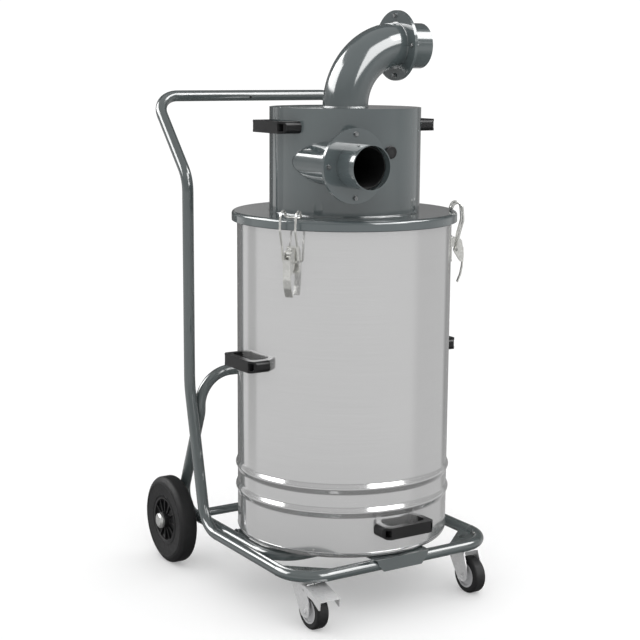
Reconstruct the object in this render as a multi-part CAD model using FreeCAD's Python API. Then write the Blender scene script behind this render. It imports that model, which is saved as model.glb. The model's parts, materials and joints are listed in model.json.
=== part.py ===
import FreeCAD, Part
import math
import os

# Wheeled cyclone pre-separator: a cyclone head with tangential inlet and top
# outlet sits on the lid of a dust drum, and a trolley of bent tube carries it.
# Millimetres, +Z up, floor at z = 0, front at -Y.  The geometry is laid out
# about the drum's axis and then shifted so that the origin is under the
# middle of the whole part.

os.makedirs("parts", exist_ok=True)

# ---------------------------------------------------------------- dimensions
# drum
DRUM_R = 230.0
DRUM_T = 1.5
DRUM_BOTTOM = 128.0
KNUCKLE_R = 13.0
DRUM_TOP = 829.4
BEAD_Z = (228.5, 278.5)
BEAD_OUT = 4.6
BEAD_HALF = 11.0
# lid
LID_R = 241.5
LID_Z0 = 811.9
LID_Z1 = 832.1
LID_T = 2.5
LID_ROUND = 7.0
# cyclone head
CYC_R = 160.8
CYC_T = 2.0
CYC_TOP = 1050.6
# inlet, tangential, axis along Y
IN_X = -112.5
IN_Z = 941.5
IN_R = 43.0
IN_T = 2.0
IN_COLLAR_R = 45.0
IN_FLANGE_Y = -207.5
IN_MOUTH_Y = -268.8
IN_FLANGE_R = 74.5
FLANGE_T = 3.5
IN_PCD = 126.0
# outlet, up from the drum axis and bent towards +X
OUT_R = 48.3
OUT_T = 2.0
OUT_BEND = 129.0
OUT_FLANGE_X = 129.5
OUT_END_X = 192.0
OUT_FLANGE_R = 74.5
OUT_PCD = 126.0
BOLT_HOLE_R = 3.5
# trolley tubes
TUBE_R = 12.5
BASE_Z = 113.5
W1 = 248.5          # outer loop, half width between centres
W2 = 223.5          # inner loop, half width between centres
FRONT_Y = -223.7
CORNER_R = 75.0
RISER_Y = 248.0
RISER_FOOT_Y = 176.0
RISER_KNEE_Z = 428.0
RISER_TOP_Z = 890.5
GRIP_Y = 407.5
GRIP_Z = 1065.9
GRIP_CORNER_R = 57.0
FOOT_BEND_R = 65.0
KNEE_R = 200.0
NECK_R = 75.0
# inner loop: arch behind the drum, legs, rails and cross bars
ARCH_Y = 246.2
ARCH_TOP_Z = 452.5
ARCH_R = 77.0
HOOP_KNEE_Z = 362.0
HOOP_KNEE_R = 50.0
LEG_FOOT_Y = 349.5
LEG_BEND_R = 47.0
CRADLE_FRONT_Y = -85.0
CRADLE_REAR_Y = 96.0
# axle and rear wheels
AXLE_Y = 313.6
AXLE_Z = 100.0
AXLE_R = 10.0
WHEEL_R = 100.0
WHEEL_X = 265.5
WHEEL_W = 42.0
CAP_X = 301.0
# casters
KING_X = 202.0
KING_Y = -175.5
TRAIL = 33.0
CASTER_R = 40.0
CASTER_W = 30.0
# clamps, at these angles round from the front towards -X
CLAMP_ANGLES = {"left": 59.5, "right": -59.5, "rear": 180.0}
# handles
HANDLE_L = 128.0
HANDLE_H = 25.0
HANDLE_OUT = 36.0
HANDLE_TH = 13.0

PEDAL_REACH = 95.3

# overall length, tip of the brake pedal to the back of the push bar
Y_SHIFT = -((GRIP_Y + TUBE_R) + (KING_Y - PEDAL_REACH)) / 2.0

NODES = []


def V(x, y, z):
    return FreeCAD.Vector(x, y, z)


def save(name, shape):
    s = shape.copy()
    s.translate(V(0, Y_SHIFT, 0))
    if not s.isValid():
        print("INVALID", name)
    s.exportStep("parts/%s.step" % name)
    NODES.append(name)
    bb = s.BoundBox
    print("%-22s %d solid(s) vol %9.1f cm3  x %.1f..%.1f y %.1f..%.1f z %.1f..%.1f" % (
        name, len(s.Solids), s.Volume / 1000.0, bb.XMin, bb.XMax, bb.YMin, bb.YMax, bb.ZMin, bb.ZMax))


def rounded(points, radii, closed=False):
    """Edges of a run of straight lines whose corners are tangent arcs."""
    P = [V(*p) for p in points]
    n = len(P)
    idx = range(n)
    ins, outs, mids = [], [], []
    for i in idx:
        r = radii[i]
        if (not closed and i in (0, n - 1)) or r <= 0:
            ins.append(P[i]); outs.append(P[i]); mids.append(None)
            continue
        a, b, c = P[(i - 1) % n], P[i], P[(i + 1) % n]
        u = a - b
        w = c - b
        u.normalize()
        w.normalize()
        ang = math.acos(max(-1.0, min(1.0, u.dot(w))))
        t = r / math.tan(ang / 2.0)
        bis = u + w
        bis.normalize()
        centre = b + bis * (r / math.sin(ang / 2.0))
        ins.append(b + u * t)
        outs.append(b + w * t)
        mids.append(centre - bis * r)
    edges = []
    for i in idx:
        if mids[i] is not None:
            edges.append(Part.Arc(ins[i], mids[i], outs[i]).toShape())
        j = (i + 1) % n
        if not closed and i == n - 1:
            break
        if (ins[j] - outs[i]).Length > 1e-4:
            edges.append(Part.LineSegment(outs[i], ins[j]).toShape())
    return edges


def wire(points, radii, closed=False):
    return Part.Wire(Part.__sortEdges__(rounded(points, radii, closed)))


def tube(points, radii, r):
    """Round bar swept along straight runs joined by tangent arcs."""
    path = wire(points, radii)
    p0 = V(*points[0])
    d = V(*points[1]) - p0
    ring = Part.Wire([Part.Circle(p0, d, r).toShape()])
    s = path.makePipeShell([ring], True, False)
    if s.ShapeType != "Solid":
        s = Part.Solid(s) if s.ShapeType == "Shell" else s.Solids[0]
    return s


def lathe(profile, radii=None, axis="z", centre=(0, 0, 0)):
    """Solid of revolution of a closed (radius, height) outline."""
    n = len(profile)
    if radii is None:
        radii = [0] * n
    if axis == "z":
        pts = [(centre[0] + r, centre[1], centre[2] + h) for r, h in profile]
        ax = V(0, 0, 1)
    elif axis == "x":
        pts = [(centre[0] + h, centre[1] + r, centre[2]) for r, h in profile]
        ax = V(1, 0, 0)
    else:
        pts = [(centre[0] + r, centre[1] + h, centre[2]) for r, h in profile]
        ax = V(0, 1, 0)
    w = wire(pts, radii, True)
    f = Part.Face(w)
    s = f.revolve(V(*centre), ax, 360)
    if s.Volume < 0:
        s.reverse()
    return s


def cyl(p, d, r, h):
    return Part.makeCylinder(r, h, V(*p), V(*d))


def box(x0, x1, y0, y1, z0, z1):
    return Part.makeBox(x1 - x0, y1 - y0, z1 - z0, V(x0, y0, z0))


def prism(points, radii, vec):
    f = Part.Face(wire(points, radii, True))
    s = f.extrude(V(*vec))
    return s


def mirror_x(s):
    return s.mirror(V(0, 0, 0), V(1, 0, 0))


def spin_z(s, angle):
    """Turn from the front (-Y) by angle towards -X."""
    t = s.copy()
    t.rotate(V(0, 0, 0), V(0, 0, 1), -angle)
    return t


def fuse(*shapes):
    s = shapes[0]
    for t in shapes[1:]:
        s = s.fuse(t)
    try:
        r = s.removeSplitter()
        if r.isValid() and len(r.Solids) == len(s.Solids):
            s = r
    except Exception:
        pass
    return s


def compound(*shapes):
    out = []
    for s in shapes:
        out += s.Solids
    return Part.makeCompound(out)


# ------------------------------------------------------------- trolley frame
# Outer loop: one Ø25 tube in six lengths that meet end to end.
slope = (GRIP_Z - RISER_TOP_Z) / (GRIP_Y - RISER_Y)
k = 1.0 / math.hypot(1.0, slope)
# the push bar ends just below its own corners
corner_run = GRIP_CORNER_R + 6.0
gy, gz = GRIP_Y - corner_run * k, GRIP_Z - corner_run * k * slope
grip = tube([(-W1, gy, gz), (-W1, GRIP_Y, GRIP_Z), (W1, GRIP_Y, GRIP_Z), (W1, gy, gz)],
            [0, GRIP_CORNER_R, GRIP_CORNER_R, 0], TUBE_R)
save("push_bar", grip)

rail_end_y = RISER_FOOT_Y - 58.0
riser = tube([(-W1, gy, gz), (-W1, RISER_Y, RISER_TOP_Z), (-W1, RISER_Y, RISER_KNEE_Z),
              (-W1, RISER_FOOT_Y, BASE_Z), (-W1, rail_end_y, BASE_Z)],
             [0, NECK_R, KNEE_R, FOOT_BEND_R, 0], TUBE_R)
save("left_riser_tube", riser)
save("right_riser_tube", mirror_x(riser))

corner_end_y = FRONT_Y + CORNER_R + 2.0
rail = tube([(-W1, rail_end_y, BASE_Z), (-W1, corner_end_y, BASE_Z)], [0, 0], TUBE_R)
save("left_base_rail", rail)
save("right_base_rail", mirror_x(rail))

front = tube([(-W1, corner_end_y, BASE_Z), (-W1, FRONT_Y, BASE_Z), (W1, FRONT_Y, BASE_Z), (W1, corner_end_y, BASE_Z)],
             [0, CORNER_R, CORNER_R, 0], TUBE_R)
save("front_base_bar", front)

# Inner loop: the arch behind the drum runs down into legs that lean back to
# the axle, turn forward under it and run on as rails to the front cross bar.
leg_dy = (LEG_FOOT_Y - ARCH_Y) / (HOOP_KNEE_Z - BASE_Z)
hoop = tube([(-W2, LEG_FOOT_Y - 105.0, BASE_Z), (-W2, LEG_FOOT_Y, BASE_Z), (-W2, ARCH_Y, HOOP_KNEE_Z), (-W2, ARCH_Y, ARCH_TOP_Z),
             (W2, ARCH_Y, ARCH_TOP_Z), (W2, ARCH_Y, HOOP_KNEE_Z), (W2, LEG_FOOT_Y, BASE_Z), (W2, LEG_FOOT_Y - 105.0, BASE_Z)],
            [0, LEG_BEND_R, HOOP_KNEE_R, ARCH_R, ARCH_R, HOOP_KNEE_R, LEG_BEND_R, 0], TUBE_R)
save("rear_hoop", hoop)
in_rail_y = LEG_FOOT_Y - 105.0
in_corner_y = CRADLE_FRONT_Y + CORNER_R + 2.0
inner = tube([(-W2, in_rail_y, BASE_Z), (-W2, in_corner_y, BASE_Z)], [0, 0], TUBE_R)
save("cradle_rails", compound(inner, mirror_x(inner)))
cb = tube([(-W2, in_corner_y, BASE_Z), (-W2, CRADLE_FRONT_Y, BASE_Z), (W2, CRADLE_FRONT_Y, BASE_Z), (W2, in_corner_y, BASE_Z)],
          [0, CORNER_R, CORNER_R, 0], TUBE_R)
save("front_cradle_bar", cb)
rb = cyl((-W2 + TUBE_R - 1.0, CRADLE_REAR_Y, BASE_Z), (1, 0, 0), TUBE_R, 2 * (W2 - TUBE_R + 1.0))
rb = rb.cut(inner).cut(mirror_x(inner))
save("rear_cradle_bar", max(rb.Solids, key=lambda s: s.Volume))

# Axle, welded across under the bends of the inner loop.
axle = cyl((-CAP_X + 7.0, AXLE_Y, AXLE_Z), (1, 0, 0), AXLE_R, 2 * (CAP_X - 7.0))
save("rear_axle", axle)
# push-on caps over the axle's ends, outside the wheel hubs
cap_o = lathe([(0, 0), (AXLE_R, 0), (AXLE_R, 3.0), (17.5, 3.0), (17.5, -3.2), (12.0, -6.2), (0, -7.0)], [0, 0, 0, 0.8, 3.0, 5.0, 0], "x", (-CAP_X + 7.0, AXLE_Y, AXLE_Z))
save("axle_caps", compound(cap_o, mirror_x(cap_o)))

# Corner gussets between the bends, at the tubes' middle, drilled for the casters.
PL = 4.0
tin = TUBE_R - 0.3


def gusset():
    xo = -W1 + tin
    yo = FRONT_Y + tin
    cx, cy = -W1 + CORNER_R, FRONT_Y + CORNER_R
    rr = CORNER_R - tin
    a45 = math.sqrt(0.5)
    e = []
    p1 = V(xo, -124.0, 0)
    p2 = V(xo, cy, 0)
    pm = V(cx - rr * a45, cy - rr * a45, 0)
    p3 = V(cx, yo, 0)
    p4 = V(-137.0, yo, 0)
    e.append(Part.LineSegment(p1, p2).toShape())
    e.append(Part.Arc(p2, pm, p3).toShape())
    e.append(Part.LineSegment(p3, p4).toShape())
    # straight inner edge, under the drum's rim
    e.append(Part.LineSegment(p4, p1).toShape())
    f = Part.Face(Part.Wire(e))
    s = f.extrude(V(0, 0, PL))
    s.translate(V(0, 0, BASE_Z - PL / 2.0))
    s = s.cut(cyl((-KING_X, KING_Y, 100), (0, 0, 1), 5.0, 30))
    return s


g = gusset().cut(front).cut(rail)
g = max(g.Solids, key=lambda s: s.Volume)
save("corner_gussets", compound(g, mirror_x(g)))

# Support plate: folded over the front bar, running back under the drum.
pt = 2.0
z1 = BASE_Z + TUBE_R
top_plate = prism([(-70, -222, z1), (-66, FRONT_Y - TUBE_R - pt, z1), (66, FRONT_Y - TUBE_R - pt, z1), (70, -222, z1),
                   (70, CRADLE_REAR_Y + 18.0, z1), (-70, CRADLE_REAR_Y + 18.0, z1)], [0, 0, 0, 0, 12, 12], (0, 0, pt))
yf = FRONT_Y - TUBE_R
lip = prism([(-66, yf, z1 + pt), (66, yf, z1 + pt), (61, yf, 115.0), (48, yf, 101.0), (-48, yf, 101.0), (-61, yf, 115.0)],
            [0, 0, 3, 3, 3, 3], (0, -pt, 0))
plate = fuse(top_plate, lip)
save("drum_support_plate", plate)

# ----------------------------------------------------------------- the drum
t = DRUM_T


def drum_profile():
    out = [(DRUM_R, DRUM_BOTTOM + KNUCKLE_R)]
    rad = [0]
    for z in BEAD_Z:
        out += [(DRUM_R, z - BEAD_HALF), (DRUM_R + BEAD_OUT, z), (DRUM_R, z + BEAD_HALF)]
        rad += [9.0, 7.0, 9.0]
    out += [(DRUM_R, DRUM_TOP - 3.0), (DRUM_R + 4.5, DRUM_TOP - 3.0), (DRUM_R + 4.5, DRUM_TOP)]
    rad += [2.0, 0, 0]
    out += [(DRUM_R - t, DRUM_TOP)]
    rad += [0]
    for z in reversed(BEAD_Z):
        out += [(DRUM_R - t, z + BEAD_HALF), (DRUM_R - t + BEAD_OUT, z), (DRUM_R - t, z - BEAD_HALF)]
        rad += [7.5, 8.5, 7.5]
    out += [(DRUM_R - t, DRUM_BOTTOM + KNUCKLE_R)]
    rad += [0]
    return out, rad


prof, rad = drum_profile()
save("drum_shell", lathe(prof, rad))
b = DRUM_BOTTOM
save("drum_bottom", lathe([(0, b), (DRUM_R, b), (DRUM_R, b + KNUCKLE_R), (DRUM_R - t, b + KNUCKLE_R), (DRUM_R - t, b + t), (0, b + t)],
                          [0, KNUCKLE_R - 0.01, 0, 0, KNUCKLE_R - t - 0.01, 0]))

# ------------------------------------------------------------------ the lid
save("lid", lathe([(LID_R, LID_Z0), (LID_R, LID_Z1), (CYC_R - 12.0, LID_Z1), (CYC_R - 12.0, LID_Z1 - LID_T), (LID_R - LID_T, LID_Z1 - LID_T), (LID_R - LID_T, LID_Z0)],
                  [0, LID_ROUND, 0, 0, LID_ROUND - LID_T, 0]))

# ------------------------------------------------------------- cyclone head
ring = lathe([(CYC_R, LID_Z1), (CYC_R, CYC_TOP - 2.0), (CYC_R - CYC_T, CYC_TOP - 2.0), (CYC_R - CYC_T, LID_Z1)])
in_hole = cyl((IN_X, 0, IN_Z), (0, -1, 0), IN_R, 260)
# the inlet pipe is trimmed to the inside of the cyclone wall
pipe_o = cyl((IN_X, 0, IN_Z), (0, -1, 0), IN_R, -IN_FLANGE_Y)
pipe_i = cyl((IN_X, 10, IN_Z), (0, -1, 0), IN_R - IN_T, 400)
inside = cyl((0, 0, LID_Z1 - 5), (0, 0, 1), CYC_R - CYC_T / 2.0, CYC_TOP - LID_Z1 + 20)
cyclone = ring.cut(in_hole)
cyclone = max(cyclone.Solids, key=lambda s: s.Volume)
save("cyclone_body", cyclone)
save("cyclone_top", lathe([(OUT_R + 0.02, CYC_TOP - 2.0), (CYC_R, CYC_TOP - 2.0), (CYC_R, CYC_TOP), (OUT_R + 0.02, CYC_TOP)]))


def flange(R, r_in, pcd, thick, axis, p, phase):
    """Ring with four bolt holes, from p along axis."""
    f = cyl(p, axis, R, thick).cut(cyl(p, axis, r_in, thick))
    for i in range(4):
        a = math.radians(phase + 90 * i)
        c, s = math.cos(a) * pcd / 2.0, math.sin(a) * pcd / 2.0
        if abs(axis[1]) > 0.5:
            q = (p[0] + c, p[1] - axis[1], p[2] + s)
        else:
            q = (p[0] - axis[0], p[1] + c, p[2] + s)
        f = f.cut(cyl(q, axis, BOLT_HOLE_R, thick + 2))
    return f


f1 = flange(IN_FLANGE_R, IN_R - 0.5, IN_PCD, FLANGE_T, (0, 1, 0), (IN_X, IN_FLANGE_Y, IN_Z), 90)
pipe = pipe_o.cut(inside).cut(pipe_i)
pipe = max(pipe.Solids, key=lambda s: s.Volume)
inlet = fuse(pipe, f1).cut(pipe_i)
save("inlet_pipe", inlet)
f2 = flange(IN_FLANGE_R, IN_R - 0.5, IN_PCD, FLANGE_T, (0, -1, 0), (IN_X, IN_FLANGE_Y, IN_Z), 90)
col = cyl((IN_X, IN_FLANGE_Y, IN_Z), (0, -1, 0), IN_COLLAR_R, IN_FLANGE_Y - IN_MOUTH_Y)
collar = fuse(col, f2).cut(cyl((IN_X, IN_FLANGE_Y + 1.0, IN_Z), (0, -1, 0), IN_COLLAR_R - IN_T, 100.0))
save("inlet_collar", collar)

# elbow from the top plate, on the drum's axis, to the outlet flange
path = wire([(0, 0, CYC_TOP - 30.0), (0, 0, CYC_TOP + OUT_BEND), (OUT_FLANGE_X, 0, CYC_TOP + OUT_BEND)], [0, OUT_BEND, 0])
oz = CYC_TOP + OUT_BEND


def bend(r, z_start, x_end):
    low = cyl((0, 0, z_start), (0, 0, 1), r, CYC_TOP - z_start)
    c = Part.Face(Part.Wire([Part.Circle(V(0, 0, CYC_TOP), V(0, 0, 1), r).toShape()]))
    arc = c.revolve(V(OUT_BEND, 0, CYC_TOP), V(0, 1, 0), 90)
    if arc.Volume < 0:
        arc.reverse()
    s = low.fuse(arc)
    if x_end > OUT_BEND + 0.001:
        s = s.fuse(cyl((OUT_BEND, 0, oz), (1, 0, 0), r, x_end - OUT_BEND))
    return s


outer = bend(OUT_R, CYC_TOP - 60.0, OUT_FLANGE_X)
innerb = bend(OUT_R - OUT_T, CYC_TOP - 61.0, OUT_FLANGE_X + 1)
f3 = flange(OUT_FLANGE_R, OUT_R - 0.5, OUT_PCD, FLANGE_T, (-1, 0, 0), (OUT_FLANGE_X, 0, oz), 90)
elbow = outer.fuse(f3).cut(innerb)
elbow = max(elbow.Solids, key=lambda s: s.Volume)
save("outlet_elbow", elbow)
f4 = flange(OUT_FLANGE_R, OUT_R - 0.5, OUT_PCD, FLANGE_T, (1, 0, 0), (OUT_FLANGE_X, 0, oz), 90)
oc = fuse(cyl((OUT_FLANGE_X, 0, oz), (1, 0, 0), OUT_R, OUT_END_X - OUT_FLANGE_X), f4)
oc = oc.cut(cyl((OUT_FLANGE_X - 1, 0, oz), (1, 0, 0), OUT_R - OUT_T, 200))
save("outlet_collar", oc)

# round plug in the front of the cyclone wall
plug = lathe([(0, 0), (13.0, 0), (13.0, 9.0), (0, 9.0)], [0, 0, 2.0, 0], "y", (0, 0, 0))
plug.rotate(V(0, 0, 0), V(0, 0, 1), 180)
plug.translate(V(4.5, -math.sqrt(CYC_R ** 2 - 20.0 ** 2) + 0.5, 963.0))
plug = plug.cut(cyl((0, 0, 900), (0, 0, 1), CYC_R, 120))
save("port_plug", plug)


# ------------------------------------------------------------------ handles
def handle(R, z, angle):
    """Bridge handle at the front of a cylinder of radius R, turned by angle."""
    h = HANDLE_H / 2.0
    L = HANDLE_L / 2.0
    y0 = -R
    y1 = -R - HANDLE_OUT
    th = HANDLE_TH
    root = math.sqrt(R * R - L * L)
    outer_pts = [(-L, -root + 6.0), (-L, y1 + 13.0), (-L + 13.0, y1), (L - 13.0, y1), (L, y1 + 13.0), (L, -root + 6.0)]
    inner_pts = [(L - th - 5, -root + 6.0), (L - th - 5.0, y1 + th + 8.0), (L - th - 12, y1 + th), (-L + th + 12, y1 + th), (-L + th + 5.0, y1 + th + 8.0), (-L + th + 5, -root + 6.0)]
    pts = [(x, y, z - h) for x, y in outer_pts + inner_pts]
    s = prism(pts, [0, 7, 7, 7, 7, 0, 0, 4, 4, 4, 4, 0], (0, 0, 2 * h))
    # ends rounded as seen from the front, with a pocket in each foot
    face = prism([(-L, 0, z - h), (L, 0, z - h), (L, 0, z + h), (-L, 0, z + h)], [8.0] * 4, (0, y1 - 5.0, 0))
    s = s.common(face)
    for x in (-L + 4.5, L - 14.5):
        s = s.cut(box(x, x + 10.0, y1 - 5.0, -R - 9.0, z - 7.5, z + 7.5))
    s = s.cut(cyl((0, 0, z - 40), (0, 0, 1), R, 80))
    return spin_z(s, angle)


save("cyclone_handles", compound(handle(CYC_R, 1012.0, 90.0), handle(CYC_R, 1012.0, -90.0)))
save("drum_handles", compound(handle(DRUM_R, 524.0, 90.0), handle(DRUM_R, 524.0, -90.0), handle(DRUM_R, 190.0, 0.0)))

# ------------------------------------------------------------ toggle clamps
# In section: the lever turns on P, fixed to the drum, and the wire on B,
# carried by the lever inside P's line, so that the closed clamp is over centre.
P_R, P_Z = 248.0, 765.0
B_R, B_Z = 241.5, 747.0
WIRE_R = 2.5
WIRE_X = 17.5


def clamp_bracket():
    base = prism([(-14, -DRUM_R + 4, 722), (14, -DRUM_R + 4, 722), (14, -DRUM_R + 4, 778), (-14, -DRUM_R + 4, 778)], [3, 3, 3, 3], (0, -6.0, 0))
    lug = prism([(-4.0, -DRUM_R + 1, 752), (-4.0, -P_R - 2.5, 757), (-4.0, -P_R - 6.0, P_Z + 1.0), (-4.0, -P_R + 2, 773), (-4.0, -DRUM_R + 1, 776)], [0, 3, 4, 4, 0], (8.0, 0, 0))
    pin = cyl((-9.0, -P_R, P_Z), (1, 0, 0), 2.5, 18.0)
    s = fuse(base, lug, pin)
    return s.cut(cyl((0, 0, 700), (0, 0, 1), DRUM_R, 100))


def clamp_lever():
    # two side cheeks and an outer web, drawn out into a flat tail
    def cheek(x):
        c = prism([(x, -B_R + 4.6, B_Z - 1), (x, -P_R + 5.5, P_Z + 4), (x, -P_R - 5.5, P_Z + 5), (x, -P_R - 8.5, P_Z - 14), (x, -255.5, 722), (x, -250.0, 722), (x, -B_R + 3.0, B_Z - 6)],
                  [3, 4, 4, 4, 0, 0, 3], (2.0, 0, 0))
        c = c.cut(cyl((x - 1, -P_R, P_Z), (1, 0, 0), 2.55, 5))
        return c.cut(cyl((x - 1, -B_R, B_Z), (1, 0, 0), 2.55, 5))
    a = cheek(-8.5)
    c = cheek(6.5)
    tail = prism([(-8.5, -256.0, 736), (-8.5, -254.5, 712), (-8.5, -251.5, 694), (-8.5, -245.0, 677), (-8.5, -247.2, 676), (-8.5, -254.0, 693.5), (-8.5, -257.0, 712), (-8.5, -258.4, 736)],
                 [0, 20, 20, 0, 0, 20, 20, 0], (17.0, 0, 0))
    web = prism([(-8.5, -P_R - 7.2, P_Z - 12), (-8.5, -P_R - 9.4, P_Z - 12), (-8.5, -258.4, 735), (-8.5, -257.8, 722), (-8.5, -254.8, 722), (-8.5, -255.6, 735)], [0, 0, 0, 0, 0, 0], (17.0, 0, 0))
    return fuse(a, c, tail, web)


def clamp_wire():
    # each leg starts in the lever's cheek, turns up, bows out past the lid's
    # rim and hooks in over it; a cross run joins the two hooks
    def leg(s):
        return [(s * 6.6, -B_R, B_Z), (s * WIRE_X, -B_R, B_Z), (s * WIRE_X, -246.0, 780.0), (s * WIRE_X, -254.5, 812.0), (s * WIRE_X, -251.5, 845.0), (s * WIRE_X, -236.0, 852.0), (s * WIRE_X, -228.5, 835.2)]
    L = leg(-1)
    R = list(reversed(leg(1)))
    pts = L + R
    rad = [0, 5.5, 24, 24, 13, 9, 5.5, 5.5, 9, 13, 24, 24, 5.5, 0]
    return tube(pts, rad, WIRE_R)


br = clamp_bracket()
lv = clamp_lever()
wr = clamp_wire()
save("clamp_brackets", compound(*[spin_z(br, a) for a in CLAMP_ANGLES.values()]))
for side, a in CLAMP_ANGLES.items():
    save(side + "_clamp_lever", spin_z(lv, a))
    save(side + "_clamp_wire", spin_z(wr, a))

# ------------------------------------------------------------------ casters
HEAD_TOP = 104.0
CZ = CASTER_R


def kingpin():
    stem = cyl((0, 0, 90.0), (0, 0, 1), 4.95, BASE_Z + PL / 2.0 - 90.0)
    cup = cyl((0, 0, HEAD_TOP + 0.5), (0, 0, 1), 19.0, BASE_Z - PL / 2.0 - HEAD_TOP - 0.5)
    head = lathe([(0, BASE_Z + PL / 2.0), (6.5, BASE_Z + PL / 2.0), (6.0, BASE_Z + PL / 2.0 + 1.0), (0, BASE_Z + PL / 2.0 + 1.6)])
    return fuse(stem, cup, head)


FORK_X = 21.2


def fork():
    # one bent strip: crown and two legs, cut to the legs' side outline
    head = cyl((0, 0, 93.0), (0, 0, 1), 27.0, 5.0).fuse(cyl((0, 0, 93.0), (0, 0, 1), 20.0, HEAD_TOP - 93.0))
    ty = -TRAIL
    f = FORK_X
    u = prism([(-f, 30.0, 10.0), (-f, 30.0, 95.5), (f, 30.0, 95.5), (f, 30.0, 10.0), (f - 2.5, 30.0, 10.0), (f - 2.5, 30.0, 93.0), (-f + 2.5, 30.0, 93.0), (-f + 2.5, 30.0, 10.0)],
              [0, 6.0, 6.0, 0, 0, 3.5, 3.5, 0], (0, -90.0, 0))
    side = prism([(-f - 1, 20.5, 96.0), (-f - 1, 19.7, 84.0), (-f - 1, -19.0, 27.0), (-f - 1, -46.5, 27.0), (-f - 1, -46.5, 62.0), (-f - 1, -33.3, 96.0)],
                 [0, 8, 9, 13, 14, 0], (2 * f + 2, 0, 0))
    body = u.common(side)
    ax = cyl((-f - 3.0, ty, CZ), (1, 0, 0), 4.0, 2 * f + 6.0)
    nut1 = cyl((-f - 2.5, ty, CZ), (1, 0, 0), 6.5, 3.0)
    nut2 = cyl((f - 0.5, ty, CZ), (1, 0, 0), 6.5, 3.0)
    s = fuse(head, body, ax, nut1, nut2)
    return s.cut(cyl((0, 0, 80), (0, 0, 1), 5.0, 30))


def caster_wheel():
    w = CASTER_W / 2.0
    tyre = lathe([(27.0, -w + 1.0), (CASTER_R, -w + 1.0), (CASTER_R, w - 1.0), (27.0, w - 1.0)], [0, 6.0, 6.0, 0], "x", (0, -TRAIL, CZ))
    hub = lathe([(4.05, -w), (10.0, -w), (10.0, -w + 4.0), (22.0, -w + 4.0), (23.5, -w + 0.5), (27.0, -w + 0.5),
                 (27.0, w - 0.5), (23.5, w - 0.5), (22.0, w - 4.0), (10.0, w - 4.0), (10.0, w), (4.05, w)],
                [0, 1, 1, 2, 0.5, 0, 0, 0.5, 2, 1, 1, 0], "x", (0, -TRAIL, CZ))
    return tyre, hub


def at_left(s):
    c = s.copy()
    c.translate(V(-KING_X, KING_Y, 0))
    return c


def at_right(s):
    c = s.copy()
    c.translate(V(KING_X, KING_Y, 0))
    return c


kp = kingpin()
save("caster_kingpins", compound(at_left(kp), at_right(kp)))
fk_ = fork()
ty_, hb_ = caster_wheel()
# the braked fork's legs carry the pedal's pin in front of its head
PED_Y, PED_Z = -32.0, 86.0
ped_pin = cyl((-FORK_X - 1.6, PED_Y, PED_Z), (1, 0, 0), 3.0, 2 * FORK_X + 3.2)
save("left_caster_fork", at_left(fuse(fk_, ped_pin)))
save("right_caster_fork", at_right(fk_))
save("left_caster_tyre", at_left(ty_))
save("left_caster_hub", at_left(hb_))
save("right_caster_tyre", at_right(ty_))
save("right_caster_hub", at_right(hb_))


def pedal():
    # inverted channel hung on the pin, its cheeks drawn out to pointed tips
    hw = FORK_X + 3.2
    top = prism([(-hw, -35.6, 95.3), (-hw, -41.0, 94.3), (-hw, -PEDAL_REACH + 0.3, 80.0), (-hw, -PEDAL_REACH, 77.9), (-hw, -40.5, 92.2), (-hw, -35.6, 93.1)],
                [0, 14, 0, 0, 12, 0], (2 * hw, 0, 0))
    cheeks = []
    for x in (-hw, hw - 2.2):
        c = prism([(x, -31.0, 94.8), (x, -25.0, 92.0), (x, -25.0, 83.0), (x, -28.0, 79.5), (x, -38.0, 79.5), (x, -66.0, 74.5), (x, -93.0, 60.0), (x, -PEDAL_REACH + 0.1, 79.0), (x, -40.0, 93.4)],
                  [2, 3, 3, 4, 10, 10, 2, 0, 8], (2.2, 0, 0))
        cheeks.append(c)
    return fuse(top, cheeks[0], cheeks[1])


p = pedal()
# bosses carry the cheeks in to the pin's ends
for x0, x1 in ((-FORK_X - 3.2, -FORK_X - 0.5), (FORK_X + 0.5, FORK_X + 3.2)):
    p = p.fuse(cyl((x0, PED_Y, PED_Z), (1, 0, 0), 5.5, x1 - x0))
p = p.cut(cyl((-30.0, PED_Y, PED_Z), (1, 0, 0), 3.05, 60.0))
save("brake_pedal", at_left(p))

# -------------------------------------------------------------- rear wheels
w = WHEEL_W / 2.0
tyre = lathe([(53.0, -w + 3.0), (88.0, -w + 0.0), (WHEEL_R, -w + 7.0), (WHEEL_R, w - 7.0), (88.0, w), (53.0, w - 3.0)],
             [2, 12, 9, 9, 12, 2], "x", (0, 0, 0))
hub = lathe([(AXLE_R + 0.05, -w - 4.0), (18.5, -w - 4.0), (20.0, -w + 7.0), (45.5, -w + 9.0), (48.0, -w + 2.6), (53.0, -w + 2.6),
             (53.0, w - 2.6), (48.0, w - 2.6), (45.5, w - 9.0), (20.0, w - 7.0), (18.5, w + 4.0), (AXLE_R + 0.05, w + 4.0)],
            [0, 1.2, 3, 3, 1.2, 0, 0, 1.2, 3, 3, 1.2, 0], "x", (0, 0, 0))
ribs = []
for i in range(12):
    for x0, x1 in ((-w + 3.6, -w + 11.0), (w - 11.0, w - 3.6)):
        r_ = box(x0, x1, 17.0, 47.5, -1.25, 1.25)
        r_.rotate(V(0, 0, 0), V(1, 0, 0), 30.0 * i)
        ribs.append(r_)
hub = fuse(hub, *ribs)
for side, sx in (("left", -1), ("right", 1)):
    for nm, s in (("tyre", tyre), ("hub", hub)):
        c = s.copy()
        c.translate(V(sx * WHEEL_X, AXLE_Y, AXLE_Z))
        save(side + "_wheel_" + nm, c)

print("nodes", len(NODES), "y shift", Y_SHIFT)
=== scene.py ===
import bpy
import bmesh
import json
import math
import random
from mathutils import Matrix, Vector


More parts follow.
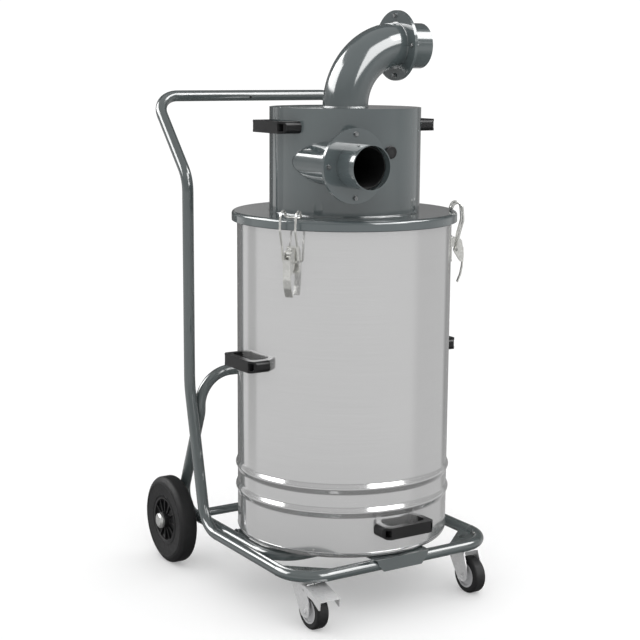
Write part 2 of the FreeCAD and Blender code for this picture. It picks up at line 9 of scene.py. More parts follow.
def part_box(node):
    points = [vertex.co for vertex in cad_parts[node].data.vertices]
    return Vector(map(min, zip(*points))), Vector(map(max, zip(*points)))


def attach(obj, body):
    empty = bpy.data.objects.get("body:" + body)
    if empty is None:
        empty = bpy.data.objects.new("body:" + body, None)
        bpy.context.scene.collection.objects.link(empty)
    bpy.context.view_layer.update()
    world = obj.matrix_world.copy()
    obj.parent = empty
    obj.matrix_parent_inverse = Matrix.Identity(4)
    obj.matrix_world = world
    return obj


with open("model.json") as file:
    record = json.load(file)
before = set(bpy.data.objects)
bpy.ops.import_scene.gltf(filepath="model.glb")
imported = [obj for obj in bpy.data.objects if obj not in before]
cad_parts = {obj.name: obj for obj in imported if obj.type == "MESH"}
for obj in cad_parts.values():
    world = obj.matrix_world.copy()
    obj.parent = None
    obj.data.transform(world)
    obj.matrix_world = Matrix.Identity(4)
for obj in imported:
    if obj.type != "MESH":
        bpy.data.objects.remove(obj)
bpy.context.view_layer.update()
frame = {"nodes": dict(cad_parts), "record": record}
NODES = frame["nodes"]
scene = bpy.context.scene
random.seed(7)

# The CAD frame's origin is under the middle of the whole part; the drum's axis
# is this far from it along Y (the drum bottom is centred on that axis).
b0, b1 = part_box("drum_bottom")
YS = (b0.y + b1.y) / 2.0


def P(x, y, z):
    """Drum-axis millimetres to row-frame metres."""
    return Vector((x / 1000.0, y / 1000.0 + YS, z / 1000.0))


# ------------------------------------------------------------------ materials
class Nodes:
    """Small helper round one material's node tree."""

    def __init__(self, name):
        self.mat = bpy.data.materials.new(name)
        self.mat.use_nodes = True
        self.t = self.mat.node_tree
        self.t.nodes.clear()
        self.out = self.t.nodes.new("ShaderNodeOutputMaterial")
        self.b = self.t.nodes.new("ShaderNodeBsdfPrincipled")
        self.t.links.new(self.b.outputs[0], self.out.inputs[0])
        self.co = self.t.nodes.new("ShaderNodeTexCoord").outputs["Object"]

    def set(self, **kw):
        names = {"color": "Base Color", "rough": "Roughness", "metal": "Metallic", "ior": "IOR", "coat": "Coat Weight",
                 "coat_rough": "Coat Roughness", "coat_ior": "Coat IOR", "spec": "Specular IOR Level", "sheen": "Sheen Weight",
                 "sheen_rough": "Sheen Roughness", "aniso": "Anisotropic"}
        for k, v in kw.items():
            s = self.b.inputs[names[k]]
            s.default_value = (*v, 1.0) if k == "color" else v

    def link(self, a, b):
        self.t.links.new(a, b)

    def scaled(self, sx, sy, sz):
        m = self.t.nodes.new("ShaderNodeMapping")
        m.inputs["Scale"].default_value = (sx, sy, sz)
        self.link(self.co, m.inputs["Vector"])
        return m.outputs[0]

    def noise(self, scale, detail=2.0, rough=0.5, co=None, distortion=0.0):
        n = self.t.nodes.new("ShaderNodeTexNoise")
        n.inputs["Scale"].default_value = scale
        n.inputs["Detail"].default_value = detail
        n.inputs["Roughness"].default_value = rough
        n.inputs["Distortion"].default_value = distortion
        self.link(co if co is not None else self.co, n.inputs["Vector"])
        return n.outputs["Fac"]

    def voronoi(self, scale, co=None, feature="F1"):
        n = self.t.nodes.new("ShaderNodeTexVoronoi")
        n.feature = feature
        n.inputs["Scale"].default_value = scale
        self.link(co if co is not None else self.co, n.inputs["Vector"])
        return n

    def ramp(self, fac, stops):
        r = self.t.nodes.new("ShaderNodeValToRGB")
        e = r.color_ramp.elements
        while len(e) < len(stops):
            e.new(0.5)
        for i, (p, c) in enumerate(stops):
            e[i].position = p
            e[i].color = (*c, 1.0) if isinstance(c, tuple) else (c, c, c, 1.0)
        self.link(fac, r.inputs[0])
        return r.outputs[0]

    def remap(self, fac, a, b, c, d):
        m = self.t.nodes.new("ShaderNodeMapRange")
        for k, v in (("From Min", a), ("From Max", b), ("To Min", c), ("To Max", d)):
            m.inputs[k].default_value = v
        self.link(fac, m.inputs["Value"])
        return m.outputs[0]

    def math(self, op, a, b):
        m = self.t.nodes.new("ShaderNodeMath")
        m.operation = op
        for i, v in enumerate((a, b)):
            if isinstance(v, (int, float)):
                m.inputs[i].default_value = v
            else:
                self.link(v, m.inputs[i])
        return m.outputs[0]

    def mix(self, fac, a, b):
        m = self.t.nodes.new("ShaderNodeMix")
        m.data_type = "RGBA"
        for s, v in ((m.inputs[0], fac), (m.inputs[6], a), (m.inputs[7], b)):
            if isinstance(v, tuple):
                s.default_value = (*v, 1.0)
            elif isinstance(v, (int, float)):
                s.default_value = v
            else:
                self.link(v, s)
        return m.outputs[2]

    def bump(self, height, strength, distance, normal=None):
        n = self.t.nodes.new("ShaderNodeBump")
        n.inputs["Strength"].default_value = strength
        n.inputs["Distance"].default_value = distance
        self.link(height, n.inputs["Height"])
        if normal is not None:
            self.link(normal, n.inputs["Normal"])
        return n.outputs[0]

    def normal(self, n):
        self.link(n, self.b.inputs["Normal"])
        if "Coat Normal" in self.b.inputs:
            self.link(n, self.b.inputs["Coat Normal"])


def srgb(*v):
    out = []
    for c in v:
        c = c / 255.0
        out.append(c / 12.92 if c <= 0.04045 else ((c + 0.055) / 1.055) ** 2.4)
    return tuple(out)


def enamel(name, base, dark, wave=0.02):
    n = Nodes(name)
    n.set(ior=1.55, coat=1.0, coat_rough=0.03, coat_ior=1.6)
    broad = n.noise(5.0, 3.0, 0.55)
    n.link(n.mix(n.remap(broad, 0.3, 0.7, 0.0, 1.0), dark, base), n.b.inputs["Base Color"])
    smear = n.noise(14.0, 4.0, 0.6, n.scaled(1.0, 1.0, 0.35))
    n.link(n.remap(smear, 0.3, 0.75, 0.10, 0.20), n.b.inputs["Roughness"])
    peel = n.noise(420.0, 2.0, 0.5)
    long = n.noise(24.0, 2.0, 0.4)
    n.normal(n.bump(peel, 0.05, 0.0004, n.bump(long, wave, 0.004)))
    return n.mat


def stainless(name):
    n = Nodes(name)
    n.set(metal=0.78, coat=0.3, coat_rough=0.06, coat_ior=1.5, ior=1.6)
    grain = n.noise(1.0, 3.0, 0.6, n.scaled(6.0, 6.0, 900.0))
    broad = n.noise(2.6, 3.0, 0.5)
    tone = n.math("ADD", n.remap(grain, 0.3, 0.7, -0.25, 0.25), n.remap(broad, 0.3, 0.7, -0.3, 0.3))
    n.link(n.ramp(n.remap(tone, -0.6, 0.6, 0.0, 1.0), [(0.0, srgb(211, 211, 211)), (1.0, srgb(219, 219, 219))]), n.b.inputs["Base Color"])
    n.link(n.remap(broad, 0.3, 0.7, 0.10, 0.15), n.b.inputs["Roughness"])
    n.normal(n.bump(grain, 0.012, 0.0001, n.bump(broad, 0.02, 0.004)))
    return n.mat


def zinc(name, base, dark, rough=(0.24, 0.42), metal=0.85, cell=260.0):
    n = Nodes(name)
    n.set(metal=metal)
    v = n.voronoi(cell)
    spangle = n.t.nodes.new("ShaderNodeSeparateColor")
    n.link(v.outputs["Color"], spangle.inputs[0])
    cloud = n.noise(40.0, 4.0, 0.6)
    f = n.math("ADD", n.math("MULTIPLY", spangle.outputs[0], 0.35), n.math("MULTIPLY", cloud, 0.65))
    n.link(n.ramp(f, [(0.2, dark), (0.75, base)]), n.b.inputs["Base Color"])
    n.link(n.remap(f, 0.2, 0.8, rough[1], rough[0]), n.b.inputs["Roughness"])
    n.normal(n.bump(n.noise(700.0, 2.0), 0.03, 0.0002))
    return n.mat


def plastic(name, base, dark, rough=(0.38, 0.5), grain=900.0, strength=0.12, spec=0.5):
    n = Nodes(name)
    n.set(spec=spec, ior=1.5)
    cloud = n.noise(18.0, 3.0, 0.6)
    n.link(n.ramp(cloud, [(0.3, dark), (0.7, base)]), n.b.inputs["Base Color"])
    n.link(n.remap(cloud, 0.3, 0.7, rough[0], rough[1]), n.b.inputs["Roughness"])
    cells = n.voronoi(grain)
    n.normal(n.bump(cells.outputs["Distance"], strength, 0.0002))
    return n.mat


def rubber(name, base, dark, dust, rough=(0.5, 0.68)):
    n = Nodes(name)
    n.set(ior=1.5, spec=0.3)
    fine = n.noise(160.0, 5.0, 0.65)
    broad = n.noise(26.0, 3.0, 0.6)
    body = n.ramp(fine, [(0.3, dark), (0.7, base)])
    n.link(n.mix(n.remap(broad, 0.52, 0.8, 0.0, 0.35), body, dust), n.b.inputs["Base Color"])
    n.link(n.remap(fine, 0.3, 0.7, rough[0], rough[1]), n.b.inputs["Roughness"])
    n.normal(n.bump(n.noise(900.0, 3.0), 0.15, 0.0003))
    return n.mat


MAT = {
    "painted_tube": enamel("enamel_tube", srgb(78, 85, 85), srgb(70, 77, 78), 0.012),
    "painted_head": enamel("enamel_head", srgb(82, 90, 91), srgb(74, 82, 84), 0.03),
    "stainless_drum": stainless("satin_stainless"),
    "black_plastic": plastic("black_plastic", srgb(24, 24, 25), srgb(18, 18, 19), (0.3, 0.42), 900.0, 0.08, 0.35),
    "zinc_clamp": zinc("bright_zinc", srgb(228, 228, 224), srgb(210, 210, 207), (0.14, 0.24), 0.8),
    "zinc_caster": zinc("zinc_plate", srgb(214, 214, 214), srgb(200, 200, 201), (0.26, 0.38), 0.45),
    "caster_rubber": rubber("caster_rubber", srgb(30, 30, 31), srgb(20, 20, 21), srgb(40, 39, 38)),
    "caster_hub": plastic("hub_grey", srgb(176, 176, 177), srgb(160, 160, 162), (0.4, 0.5), 700.0, 0.08),
    "wheel_rubber": rubber("tyre_rubber", srgb(28, 28, 29), srgb(18, 18, 19), srgb(36, 35, 34)),
    "wheel_hub_plastic": plastic("hub_black", srgb(20, 20, 21), srgb(13, 13, 14), (0.34, 0.46), 800.0, 0.06, 0.3),
    "hub_cap": zinc("cap_zinc", srgb(206, 206, 204), srgb(170, 170, 170), (0.26, 0.4), 0.75),
}
MAT["bolt"] = zinc("bolt_zinc", srgb(150, 152, 152), srgb(108, 110, 112), (0.24, 0.4), 0.85, 500.0)
MAT["black_screw"] = zinc("black_screw", srgb(44, 44, 45), srgb(28, 28, 29), (0.3, 0.45), 0.6, 500.0)
MAT["weld"] = enamel("enamel_weld", srgb(90, 96, 97), srgb(78, 84, 86), 0.02)
MAT["dull_head"] = plastic("dull_head", srgb(62, 66, 66), srgb(50, 54, 54), (0.5, 0.6), 700.0, 0.05, 0.3)
# near-black material for hollows: painted shade in holes, recesses, under screw heads and in the inlet's bore
MAT["hole"] = plastic("painted_recess_shade", srgb(18, 18, 19), srgb(10, 10, 11), (0.6, 0.7))


def give(obj, key):
    obj.data.materials.clear()
    obj.data.materials.append(MAT[key])


for part in frame["record"]["subparts"]:
    o = NODES[part["node"]]
    give(o, part["material_slot"])


# -------------------------------------------------------------- mesh helpers
def make(name, verts, faces, key, body, slot=None, smooth=35.0):
    me = bpy.data.meshes.new(name)
    me.from_pydata([tuple(v) for v in verts], [], faces)
    bm = bmesh.new()
    bm.from_mesh(me)
    bmesh.ops.remove_doubles(bm, verts=bm.verts, dist=1e-7)
    bmesh.ops.recalc_face_normals(bm, faces=bm.faces)
    for f in bm.faces:
        f.smooth = True
    for e in bm.edges:
        if len(e.link_faces) == 2 and e.calc_face_angle(0.0) > math.radians(smooth):
            e.smooth = False
    bm.to_mesh(me)
    bm.free()
    me.materials.append(MAT[key])
    o = bpy.data.objects.new(name, me)
    scene.collection.objects.link(o)
    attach(o, body)
    return o


def basis(axis):
    a = Vector(axis).normalized()
    h = Vector((0, 0, 1)) if abs(a.z) < 0.9 else Vector((1, 0, 0))
    u = (h - a * h.dot(a)).normalized()
    return u, a.cross(u), a


def spun(profile, origin, axis, seg=48, closed=False):
    """Verts and faces of a profile of (radius, height) in mm, spun round axis from origin (metres)."""
    u, v, a = basis(axis)
    verts, faces = [], []
    n = len(profile)
    for i in range(seg):
        c, s = math.cos(2 * math.pi * i / seg), math.sin(2 * math.pi * i / seg)
        for r, h in profile:
            verts.append(origin + (u * c + v * s) * (r / 1000.0) + a * (h / 1000.0))
    m = n if closed else n - 1
    for i in range(seg):
        j = (i + 1) % seg
        for k in range(m):
            l = (k + 1) % n
            quad = (i * n + k, j * n + k, j * n + l, i * n + l)
            faces.append(quad)
    return verts, faces


def prismed(outline, origin, axis, h0, h1, turn=0.0, chamfer=0.0):
    """A prism of an outline of (u, v) in mm, with chamfered top edge."""
    u, v, a = basis(axis)
    c, s = math.cos(turn), math.sin(turn)
    verts, faces = [], []
    n = len(outline)
    rings = [(1.0, h0), (1.0, h1 - chamfer), (1.0 - chamfer * 0.11, h1)] if chamfer else [(1.0, h0), (1.0, h1)]
    for f, h in rings:
        for x, y in outline:
            X, Y = (x * c - y * s) * f, (x * s + y * c) * f
            verts.append(origin + u * (X / 1000.0) + v * (Y / 1000.0) + a * (h / 1000.0))
    for k in range(len(rings) - 1):
        for i in range(n):
            j = (i + 1) % n
            faces.append((k * n + i, k * n + j, (k + 1) * n + j, (k + 1) * n + i))
    faces.append(tuple(reversed(range(n))))
    faces.append(tuple(range((len(rings) - 1) * n, len(rings) * n)))
    return verts, faces


def joined(parts):
    verts, faces = [], []
    for v, f in parts:
        o = len(verts)
        verts += v
        faces += [tuple(i + o for i in q) for q in f]
    return verts, faces


def hexagon(across):
    r = across / math.sqrt(3.0)
    return [(r * math.cos(math.radians(60 * i)), r * math.sin(math.radians(60 * i))) for i in range(6)]


def hex_head(p, axis, across, height, turn, washer=None):
    """Hex head with a washer under it and a domed chamfer, standing on p along axis."""
    parts = []
    h0 = 0.0
    if washer:
        r, t = washer
        parts.append(spun([(across * 0.30, -0.1), (r - 0.25, -0.1), (r, 0.2), (r, t - 0.2), (r - 0.25, t), (across * 0.3, t)], p, axis, 28))
        h0 = t
    parts.append(prismed(hexagon(across), p, axis, h0 - 0.05, h0 + height, turn, 0.6))
    return parts


def sweep(points, radius, closed=False, seg=10, ripple=0.0, pitch=2.2, flat=1.0):
    """Verts and faces of a bead along points (row-frame metres), with fine ripples across its run."""
    n = len(points)
    verts, faces = [], []
    dist = 0.0
    prev_u = None
    for i, p in enumerate(points):
        a = points[(i - 1) % n] if (closed or i > 0) else p
        b = points[(i + 1) % n] if (closed or i < n - 1) else p
        tdir = (b - a).normalized()
        if i:
            dist += (p - points[i - 1]).length * 1000.0
        if prev_u is None:
            u, v, _ = basis(tdir)
        else:
            u = (prev_u - tdir * prev_u.dot(tdir)).normalized()
            v = tdir.cross(u)
        prev_u = u
        r = radius * (1.0 + ripple * math.sin(2 * math.pi * dist / pitch)) / 1000.0
        if not closed and i in (0, n - 1):
            r *= 0.35
        for k in range(seg):
            c, s = math.cos(2 * math.pi * k / seg), math.sin(2 * math.pi * k / seg)
            verts.append(p + u * (c * r) + v * (s * r * flat))
    m = n if closed else n - 1
    for i in range(m):
        j = (i + 1) % n
        for k in range(seg):
            l = (k + 1) % seg
            faces.append((i * seg + k, i * seg + l, j * seg + l, j * seg + k))
    if not closed:
        faces.append(tuple(range(seg)))
        faces.append(tuple(reversed(range((n - 1) * seg, n * seg))))
    return verts, faces


def circle(centre, axis, r, n=180, a0=0.0, a1=2 * math.pi):
    u, v, _ = basis(axis)
    full = abs(a1 - a0 - 2 * math.pi) < 1e-6
    m = n if full else n + 1
    return [centre + (u * math.cos(a0 + (a1 - a0) * i / n) + v * math.sin(a0 + (a1 - a0) * i / n)) * (r / 1000.0) for i in range(m)]


def resample(points, step):
    """Points along a polyline (closed or open) about step mm apart."""
    out = [points[0]]
    acc = 0.0
    for a, b in zip(points, points[1:]):
        L = (b - a).length * 1000.0
        k = max(1, int(round(L / step)))
        for i in range(1, k + 1):
            out.append(a.lerp(b, i / k))
    return out


# -------------------------------------------------------------------- welds
CYC_R, LID_Z1, CYC_TOP = 160.8, 832.1, 1050.6
IN_X, IN_Z, IN_R, IN_FY = -112.5, 941.5, 43.0, -207.5
OUT_R, OUT_FX, OUT_Z = 48.3, 129.5, 1050.6 + 129.0
Z = (0, 0, 1)

make("weld_cyclone_to_lid", *sweep(circle(P(0, 0, LID_Z1 + 0.4), Z, CYC_R + 0.4, 720), 1.4, True, 8, 0.08, 3.0), "weld", "chassis", "painted_head")
make("weld_elbow_to_top", *sweep(circle(P(0, 0, CYC_TOP + 0.3), Z, OUT_R + 0.4, 360), 1.6, True, 8, 0.10, 3.0), "weld", "chassis", "painted_head")
saddle = []
for i in range(361):
    a = 2 * math.pi * i / 360
    x = IN_X + (IN_R + 0.4) * math.cos(a)
    z = IN_Z + (IN_R + 0.4) * math.sin(a)
    y = -math.sqrt(max(0.0, (CYC_R + 0.4) ** 2 - x * x))
    saddle.append(P(x, y, z))
make("weld_inlet_to_cyclone", *sweep(saddle[:-1], 0.9, True, 8, 0.06, 3.0), "weld", "chassis", "painted_head")
make("weld_inlet_flange", *joined([
    sweep(circle(P(IN_X, IN_FY + 3.7, IN_Z), (0, 1, 0), IN_R + 0.3, 260), 1.1, True, 8, 0.08, 2.6),
    sweep(circle(P(IN_X, IN_FY - 3.7, IN_Z), (0, 1, 0), IN_R + 0.3, 260), 1.1, True, 8, 0.08, 2.6)]), "weld", "chassis", "painted_head")
make("weld_outlet_flange", *joined([
    sweep(circle(P(OUT_FX - 3.7, 0, OUT_Z), (1, 0, 0), OUT_R + 0.3, 280), 1.1, True, 8, 0.08, 2.6),
    sweep(circle(P(OUT_FX + 3.7, 0, OUT_Z), (1, 0, 0), OUT_R + 0.3, 280), 1.1, True, 8, 0.08, 2.6)]), "weld", "chassis", "painted_head")

# ------------------------------------------------------------- flange bolts
bolts = []
for k in range(4):
    a = math.radians(90 + 90 * k)
    c, s = 63.0 * math.cos(a), 63.0 * math.sin(a)
    turn = 0.35 * k
    p = P(IN_X + c, IN_FY - 3.5, IN_Z + s)
    bolts += hex_head(p, (0, -1, 0), 8.0, 3.6, turn, (4.8, 0.8))
    q = P(IN_X + c, IN_FY + 3.5, IN_Z + s)
    bolts += hex_head(q, (0, 1, 0), 9.0, 5.0, turn + 0.5, (5.4, 1.0))
    bolts.append(spun([(0, 9.4), (2.4, 9.4), (3.0, 8.8), (3.0, 5.0)], q, (0, 1, 0), 20))
make("inlet_flange_bolts", *joined(bolts), "bolt", "chassis")
bolts = []
for k in range(4):
    a = math.radians(90 + 90 * k)
    c, s = 63.0 * math.cos(a), 63.0 * math.sin(a)
    turn = 0.4 * k
    p = P(OUT_FX - 3.5, c, OUT_Z + s)
    bolts += hex_head(p, (-1, 0, 0), 8.0, 3.6, turn, (4.8, 0.8))
    q = P(OUT_FX + 3.5, c, OUT_Z + s)
    bolts += hex_head(q, (1, 0, 0), 9.0, 5.0, turn + 0.5, (5.4, 1.0))
    bolts.append(spun([(0, 9.4), (2.4, 9.4), (3.0, 8.8), (3.0, 5.0)], q, (1, 0, 0), 20))
make("outlet_flange_bolts", *joined(bolts), "bolt", "chassis")

# ------------------------------------------------------------ small details
# near-black sleeve inside the inlet's bore: painted shade for the pipe's dark inside
make("inlet_bore_painted_shade", *spun([(39.0, 0.0), (40.9, 0.0), (40.9, 120.0), (39.0, 120.0)], P(IN_X, -254.0, IN_Z), (0, 1, 0), 72, True), "hole", "chassis", "painted_head")


def dome(p, axis, r, height, seg=24):
    """Low dome standing on p along axis."""
    prof = [(r, -0.4), (r, height * 0.25), (r * 0.86, height * 0.68), (r * 0.5, height * 0.94), (0.0, height)]
    return spun(prof, p, axis, seg)


def around(R, angle, x, z):
    """Point at tangential offset x on radius R, turned from the front towards -X, and the outward direction there."""
    a = math.radians(angle)
    y = -R
    return P(x * math.cos(a) + y * math.sin(a), -x * math.sin(a) + y * math.cos(a), z), Vector((-math.sin(a), -math.cos(a), 0))


# screws in the pockets of the handles' feet
screws = []
for R, ang, z in ((CYC_R, 90, 1012.0), (CYC_R, -90, 1012.0), (230.0, 90, 524.0), (230.0, -90, 524.0), (230.0, 0, 190.0)):
    for x in (-54.5, 54.5):
        p, d = around(R + 9.0, ang, x, z)
        screws.append(dome(p, d, 3.8, 2.4))
        screws.append(prismed(hexagon(3.0), p + d * 0.0021, d, 0.0, 0.6))
make("handle_screws", *joined(screws), "black_screw", "chassis")

# rivets of the clamps' brackets
rivets = []
for ang in (59.5, -59.5, 180.0):
    for x in (-10.0, 10.0):
        for z in (727.0, 773.0):
            p, d = around(231.9, ang, x, z)
            rivets.append(dome(p, d, 2.6, 1.3, 20))
make("clamp_rivets", *joined(rivets), "zinc_clamp", "chassis")

# dome screws on the rails' inner faces by the front corners, each with a flat near-black ring under its head: the ring
# is painted shade under the head
heads, rings = [], []
for sx in (-1, 1):
    # on the inside of the front bar's bend
    phi, tilt = math.radians(33.6), math.radians(45.0)
    r_in = 75.0 - 12.4 * math.cos(tilt)
    p = P(sx * (173.5 + r_in * math.cos(phi)), -148.7 - r_in * math.sin(phi), 113.5 + 12.4 * math.sin(tilt))
    d = Vector((-sx * math.cos(phi) * math.cos(tilt), math.sin(phi) * math.cos(tilt), math.sin(tilt)))
    heads.append(dome(p, d, 2.9, 1.9))
    # flat near-black ring: painted shade under the screw head
    rings.append(spun([(2.2, -0.6), (3.8, -0.6), (3.8, 0.45), (2.4, 0.5)], p, d, 24))
make("rail_screws", *joined(heads), "zinc_clamp", "chassis")
make("rail_screw_shade_rings", *joined(rings), "hole", "chassis")

# a small drilled hole in the push bar's front, drawn as a shallow near-black dish: painted shade for the hole's dark
# inside
bar_lo, bar_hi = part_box("push_bar")
bar_axis = Vector((-0.0067, bar_hi.y - 0.0125, bar_hi.z - 0.0125))
hn = Vector((0, -0.953, -0.302))
make("push_bar_hole_shade", *spun([(0, 0.16), (3.1, 0.10), (3.4, -0.6)], bar_axis + hn * 0.0125, hn, 24), "hole", "chassis")

# painted heads of the casters' kingpins, flush in the gussets
caps, socket_shades = [], []
for sx in (-1, 1):
    p = P(sx * 202.0, -175.5, 115.5)
    caps.append(spun([(7.2, -0.2), (7.2, 1.0), (6.8, 1.7), (3.0, 1.9), (0.0, 1.9)], p, Z, 36))
    # a thin near-black hexagon on each head: painted shade standing in for the hex socket's depth
    socket_shades.append(prismed(hexagon(5.0), p + Vector((0, 0, 0.0018)), Z, 0.0, 0.3))
make("kingpin_heads", *joined(caps), "dull_head", "chassis")
make("kingpin_socket_shades", *joined(socket_shades), "hole", "chassis")

# plug: a recessed hexagon, drawn as a thin near-black hexagon on its face: painted shade for the recess
plug_lo, plug_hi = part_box("port_plug")
pc = Vector(((plug_lo.x + plug_hi.x) / 2, plug_lo.y, (plug_lo.z + plug_hi.z) / 2))
make("plug_recess_shade", *prismed(hexagon(9.0), pc + Vector((0, 0.0003, 0)), (0, -1, 0), 0.0, 0.32), "hole", "chassis")

# drum: weld seam down the back
make("drum_seam", *sweep([P(0, 230.0, 146.0 + 68.0 * i / 40.0 * 1.0) for i in range(41)], 0.8, False, 8), "stainless_drum", "chassis", "stainless_drum")
make("drum_seam_upper", *sweep([P(0, 230.0, 292.0 + 512.0 * i / 200.0) for i in range(201)], 0.8, False, 8, 0.10, 3.0), "stainless_drum", "chassis", "stainless_drum")
make("drum_base_seam", *sweep(circle(P(0, 0, 141.0), Z, 229.9, 720), 0.7, True, 8), "stainless_drum", "chassis", "stainless_drum")
# gasket under the lid's rim
make("lid_gasket", *spun([(232.0, 810.6), (238.7, 810.6), (238.7, 816.0), (232.0, 816.0)], P(0, 0, 0), Z, 144, True), "caster_rubber", "chassis")

# trolley welds
beads = []
for sx in (-1, 1):
    # axle to the inner loop's bends, both flanks of each tube
    for off in (-9.6, 9.6):
        beads.append(sweep([P(sx * 223.5 + off * math.cos(math.radians(t_)) , 313.6 + 6.0 * math.sin(math.radians(t_ * 2)), 103.6) for t_ in range(-30, 31, 3)], 1.5, False, 8, 0.08, 2.6))
    # gusset along the rail and the front bar, top and bottom
    for z in (115.9, 111.1):
        beads.append(sweep([P(sx * 236.3, -126.0 - 0.6 * i, z) for i in range(38)], 1.2, False, 8, 0.10, 2.6))
        beads.append(sweep([P(sx * (139.0 + 0.6 * i), -211.5, z) for i in range(56)], 1.2, False, 8, 0.10, 2.6))
    # front cradle bar meets the rails end to end, and so do the outer tubes
    for x, y in ((223.5, -8.0), (248.5, -146.7), (248.5, 118.0), (223.5, 244.5)):
        beads.append(sweep(circle(P(sx * x, y, 113.5), (0, 1, 0), 12.45, 90), 0.55, True, 8))
    # rear cradle bar
    beads.append(sweep(circle(P(sx * 211.8, 96.0, 113.5), (1, 0, 0), 12.6, 90), 1.2, True, 8, 0.08, 2.6))
make("trolley_welds", *joined(beads), "weld", "chassis", "painted_tube")

# hex heads on the casters' axle bolts, and a moulded line on each rear tyre's flanks
for side, sx in (("left", -1), ("right", 1)):
    cx, cy = sx * 202.0, -175.5 - 33.0
    parts = hex_head(P(cx + 24.2, cy, 40.0), (1, 0, 0), 8.0, 2.4, 0.3) + hex_head(P(cx - 24.2, cy, 40.0), (-1, 0, 0), 8.0, 2.4, 0.1)
    make(side + "_caster_bolt", *joined(parts), "zinc_caster", side + "_caster")
    lines = []
    for face in (-1, 1):
        for r, depth in ((84.5, 20.6), (57.5, 18.3)):
            lines.append(sweep(circle(P(sx * 265.5 + face * depth, 313.6, 100.0), (1, 0, 0), r, 180), 0.9, True, 8))
    make(side + "_tyre_lines", *joined(lines), "wheel_rubber", side + "_wheel", "wheel_rubber")

# ------------------------------------------------------------------- camera
T, PITCH, ROLL, F_PX = 0.562612018268917, 0.17539472366474385, 0.006564566191443501, 1438.8346
h = Vector((math.sin(T), math.cos(T), 0))
rt = Vector((math.cos(T), -math.sin(T), 0))
fwd = h * math.cos(PITCH) + Vector((0, 0, -math.sin(PITCH)))
upv = h * math.sin(PITCH) + Vector((0, 0, math.cos(PITCH)))
R_ = rt * math.cos(ROLL) + upv * math.sin(ROLL)
U_ = upv * math.cos(ROLL) - rt * math.sin(ROLL)
cam_data = bpy.data.cameras.new("camera")
cam = bpy.data.objects.new("camera", cam_data)
scene.collection.objects.link(cam)
cam_data.sensor_width = 36.0
cam_data.sensor_fit = "HORIZONTAL"
cam_data.lens = F_PX / 640.0 * 36.0
cam_data.clip_end = 60.0
m = Matrix((R_, U_, -fwd)).transposed().to_4x4()
m.translation = P(-1686.07, -2578.97, 1137.33)
cam.matrix_world = m
scene.camera = cam

# -------------------------------------------------------------------- stage
bm = bmesh.new()
bmesh.ops.create_grid(bm, x_segments=8, y_segments=8, size=14.0)
fl = bpy.data.meshes.new("floor")
bm.to_mesh(fl)
bm.free()
floor = bpy.data.objects.new("floor", fl)
scene.collection.objects.link(floor)
n = Nodes("floor_pale")
n.set(spec=0.0, rough=1.0)
n.link(n.ramp(n.noise(1.4, 2.0), [(0.3, srgb(221, 221, 221)), (0.7, srgb(223, 223, 223))]), n.b.inputs["Base Color"])
n.b.inputs["Emission Color"].default_value = (1.0, 1.0, 1.0, 1.0)
n.b.inputs["Emission Strength"].default_value = 0.27
fl.materials.append(n.mat)
floor.visible_glossy = False

# World: even white to the eye and to matt surfaces; a studio of cards and dark
# flags, laid out by direction, for what shines.
w = bpy.data.worlds.new("studio")
scene.world = w
w.use_nodes = True
nt = w.node_tree
nt.nodes.clear()


def wnode(kind, **inputs):
    nd = nt.nodes.new(kind)
    for k_, v_ in inputs.items():
        nd.inputs[k_].default_value = v_
    return nd


def wmath(op, a, b=0.0, clamp=False):
    nd = nt.nodes.new("ShaderNodeMath")
    nd.operation = op
    nd.use_clamp = clamp
    for i_, v_ in enumerate((a, b)):
        if isinstance(v_, (int, float)):
            nd.inputs[i_].default_value = v_
        else:
            nt.links.new(v_, nd.inputs[i_])
    return nd.outputs[0]


def wstep(x, lo, hi):
    nd = nt.nodes.new("ShaderNodeMapRange")
    nd.interpolation_type = "SMOOTHSTEP"
    nd.inputs["From Min"].default_value = lo
    nd.inputs["From Max"].default_value = hi
    nt.links.new(x, nd.inputs["Value"])
    return nd.outputs[0]


def wband(x, lo, hi, soft):
    return wmath("MULTIPLY", wstep(x, lo - soft, lo + soft), wmath("SUBTRACT", 1.0, wstep(x, hi - soft, hi + soft)))


geo = nt.nodes.new("ShaderNodeTexCoord").outputs["Generated"]


def wdot(v):
    nd = nt.nodes.new("ShaderNodeVectorMath")
    nd.operation = "DOT_PRODUCT"
    nt.links.new(geo, nd.inputs[0])
    nd.inputs[1].default_value = tuple(v)
    return nd.outputs["Value"]


DEG = 180.0 / math.pi
alpha = wmath("MULTIPLY", wmath("ARCTAN2", wdot(rt), wdot(h)), DEG)
elev = wmath("MULTIPLY", wmath("ARCSINE", wdot((0, 0, 1))), DEG)
base_ = nt.nodes.new("ShaderNodeValToRGB")
e = base_.color_ramp.elements
levels = [(-90, 0.10), (-36, 0.10), (-20, 0.50), (-15, 0.68), (-5, 0.68), (3, 0.42), (14, 0.36), (34, 0.55), (90, 0.60)]
while len(e) < len(levels):
    e.new(0.5)
for i, (deg_, v_) in enumerate(levels):
    e[i].position = (deg_ + 90.0) / 180.0
    e[i].color = (v_, v_, v_, 1)
nt.links.new(wmath("DIVIDE", wmath("ADD", elev, 90.0), 180.0), base_.inputs[0])
CARDS = [
    # azimuth range, elevation range, softness, radiance
    (-112, -52, 15, 46, 2.5, 7.5),
    (112, 150, 12, 48, 2.5, 6.5),
    (74, 116, 28, 51, 2.5, 7.5),
]
FLAGS = [
    # azimuth range, elevation range, softness, how much of the base is taken away
    (-38, -6, -18, 8, 3.0, 0.82),
    (-4, 40, -18, 8, 5.0, 0.55),
    (-72, -55, -16, 6, 3.0, 0.35),
    (30, 98, -20, 6, 7.0, 0.18),
    (-46, 56, 12, 60, 4.0, 0.78),
]
level = base_.outputs[0]
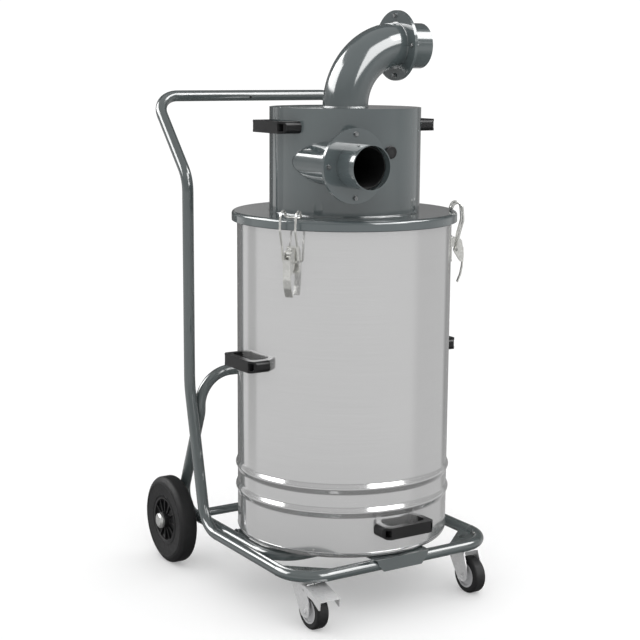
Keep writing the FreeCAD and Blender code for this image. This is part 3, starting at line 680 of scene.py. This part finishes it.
for a0, a1, e0, e1, so, dk in FLAGS:
    mask = wmath("MULTIPLY", wband(alpha, a0, a1, so), wband(elev, e0, e1, so))
    level = wmath("MULTIPLY", level, wmath("SUBTRACT", 1.0, wmath("MULTIPLY", mask, dk)))
for a0, a1, e0, e1, so, rad_ in CARDS:
    mask = wmath("MULTIPLY", wband(alpha, a0, a1, so), wband(elev, e0, e1, so))
    level = wmath("ADD", level, wmath("MULTIPLY", mask, rad_))
wo = nt.nodes.new("ShaderNodeOutputWorld")
bg = wnode("ShaderNodeBackground")
bg.inputs[0].default_value = (1.0, 1.0, 1.0, 1)
bg.inputs[1].default_value = 1.06
bg2 = wnode("ShaderNodeBackground")
nt.links.new(level, bg2.inputs[1])
bg2.inputs[0].default_value = (1.0, 1.0, 1.0, 1)
mixs = nt.nodes.new("ShaderNodeMixShader")
lp = nt.nodes.new("ShaderNodeLightPath")
nt.links.new(lp.outputs["Is Glossy Ray"], mixs.inputs[0])
nt.links.new(bg.outputs[0], mixs.inputs[1])
nt.links.new(bg2.outputs[0], mixs.inputs[2])
nt.links.new(mixs.outputs[0], wo.inputs[0])
w.cycles.sampling_method = "NONE"


def area(name, direction, dist, size, power, target=(0, 0, 0.65), diffuse=True, glossy=True, colour=(1, 1, 1)):
    """Area light in a direction from the object (unit vector), facing it."""
    L = bpy.data.lights.new(name, "AREA")
    L.shape = "RECTANGLE"
    L.size, L.size_y = size
    L.color = colour
    L.energy = power
    o = bpy.data.objects.new(name, L)
    d = Vector(direction).normalized()
    o.location = Vector(target) + d * dist
    o.rotation_mode = "QUATERNION"
    o.rotation_quaternion = d.to_track_quat("Z", "Y")
    scene.collection.objects.link(o)
    o.visible_diffuse = diffuse
    o.visible_glossy = glossy
    o.visible_camera = False
    return o


def radiance_power(size, L):
    """Power that gives an area light radiance L: a flat emitter gives pi * area * L watts."""
    return math.pi * size[0] * size[1] * L


def aim(alpha, elev):
    """Direction at alpha degrees round from straight behind the object (as the camera sees it) towards its right, elev up."""
    a, el = math.radians(alpha), math.radians(elev)
    return h * (math.cos(a) * math.cos(el)) + rt * (math.sin(a) * math.cos(el)) + Vector((0, 0, math.sin(el)))


# one small soft key gives the matt surfaces a lighter side
area("key_soft", aim(160, 42), 4.5, (2.4, 2.4), radiance_power((2.4, 2.4), 1.1), glossy=False)

scene.view_settings.view_transform = "Standard"
scene.view_settings.look = "None"
scene.view_settings.exposure = 0.0
scene.view_settings.gamma = 1.0
